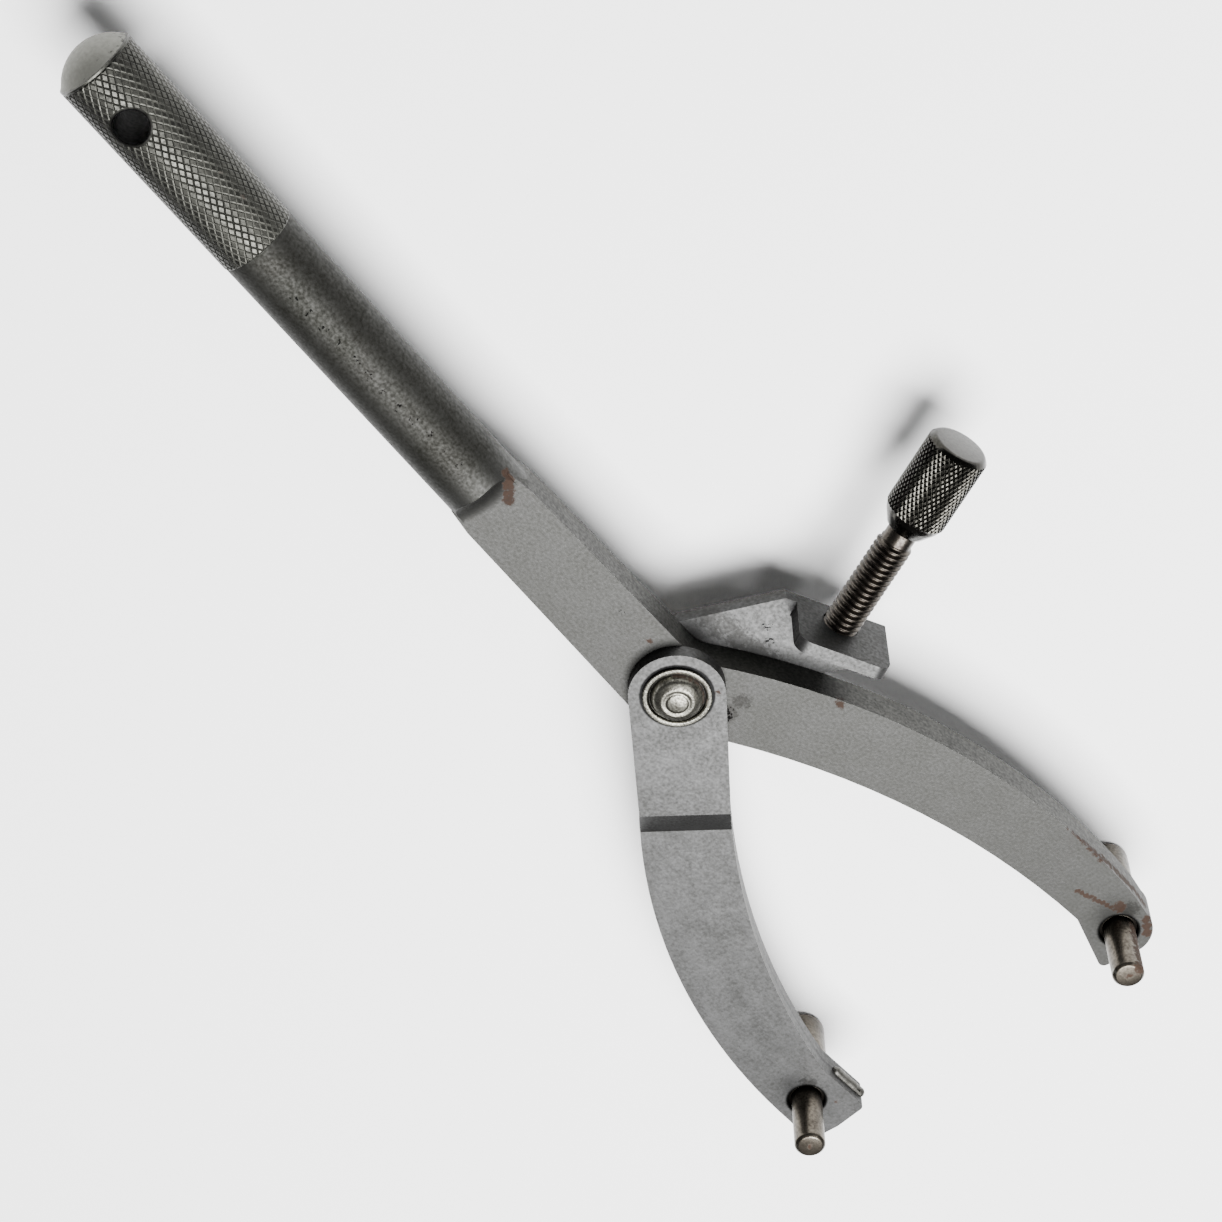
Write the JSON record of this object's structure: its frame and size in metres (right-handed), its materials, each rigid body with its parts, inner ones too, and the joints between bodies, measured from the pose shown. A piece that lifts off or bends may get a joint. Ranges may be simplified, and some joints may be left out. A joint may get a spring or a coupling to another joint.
{
  "type": "adjustable pin spanner",
  "caption": "Y-shaped face pin spanner with a knurled bar handle, a forged fixed jaw, a riveted moving jaw with a stop screw, and a stepped pin in each jaw tip.",
  "frame": {"origin": "on the axis of the fixed jaw's pin, at the front face of the fixed jaw", "axes": "+Z along the pins and the pivot, towards the small front pins; +X along the handle, from its hang hole to the jaws; +Y across, towards the adjusting screw"},
  "size_m": [0.3053, 0.1361, 0.0406],
  "materials": {
    "forged_steel": "forged, shot-blasted, dull grey",
    "plate_steel": "stamped, shot-blasted, dull grey",
    "weld_steel": "ground weld bead",
    "rivet_steel": "worn bright on the dome",
    "pin_steel": "turned, dark, with rust",
    "screw_steel": "blackened and oiled thread",
    "knob_steel": "blackened, knurled, worn bright on the crests"
  },
  "bodies": {
    "handle": {"handle_and_fixed_jaw": "forged_steel", "fixed_jaw_pin": "pin_steel"},
    "moving_jaw": {"moving_jaw_front_plate": "plate_steel", "moving_jaw_rear_plate": "plate_steel", "jaw_weld": "weld_steel", "moving_jaw_pin": "pin_steel", "pivot_rivet": "rivet_steel"},
    "screw": {"adjusting_screw": "screw_steel"},
    "knob": {"thumb_knob": "knob_steel"}
  },
  "joints": [
    {"name": "jaw_swing", "type": "hinge", "parent": "handle", "child": "moving_jaw", "pos_m": [-0.11319, -0.03831, -0.004], "axis": [0, 0, 1], "range_deg": [-8, 30]},
    {"name": "screw_feed", "type": "slide", "parent": "moving_jaw", "child": "screw", "axis": [0.4289, -0.9033, 0], "range_m": [-0.00282, 0.00423]},
    {"name": "knob_turn", "type": "hinge", "parent": "screw", "child": "knob", "pos_m": [-0.10179, -0.00383, -0.0057], "axis": [0.4289, -0.9033, 0], "range_deg": [-722, 1082]}
  ],
  "couplings": [
    {"joint": "knob_turn", "follows": "screw_feed", "rad_per_m": 4453}
  ]
}
